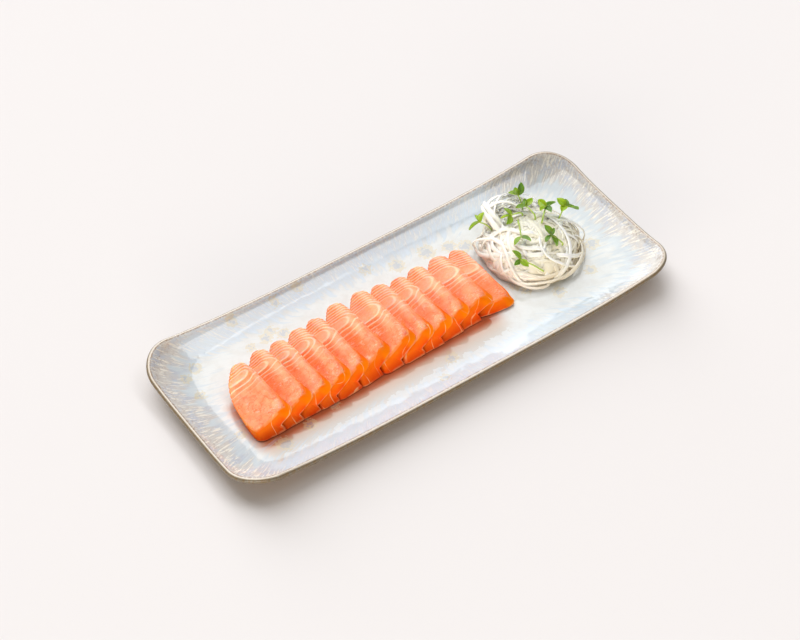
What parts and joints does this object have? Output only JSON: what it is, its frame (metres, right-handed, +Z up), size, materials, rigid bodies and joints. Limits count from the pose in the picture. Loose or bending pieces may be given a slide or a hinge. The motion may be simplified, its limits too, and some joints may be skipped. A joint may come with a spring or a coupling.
{
  "type": "salmon sashimi on a plate",
  "caption": "Row of leaning raw salmon slices beside a heap of white radish shreds with cress sprigs, on a long glazed plate with raised corners.",
  "frame": {"origin": "on the table under the middle of the plate", "axes": "+X along the row of slices towards the radish heap, +Y to the plate's far long side, +Z up"},
  "size_m": [0.35, 0.141, 0.0419],
  "materials": {
    "glaze": "glossy mottled glaze",
    "salmon": "wet",
    "radish": "wet",
    "cress": "satin"
  },
  "bodies": {
    "root": {"plate": "glaze", "slice_01": "salmon", "slice_02": "salmon", "slice_03": "salmon", "slice_04": "salmon", "slice_05": "salmon", "slice_06": "salmon", "slice_07": "salmon", "slice_08": "salmon", "slice_09": "salmon", "slice_10": "salmon", "slice_11": "salmon", "slice_12": "salmon", "radish_shreds": "radish", "sprig_1": "cress", "sprig_2": "cress", "sprig_3": "cress", "sprig_4": "cress", "sprig_5": "cress", "sprig_6": "cress", "sprig_7": "cress", "sprig_8": "cress", "sprig_9": "cress"}
  },
  "joints": []
}
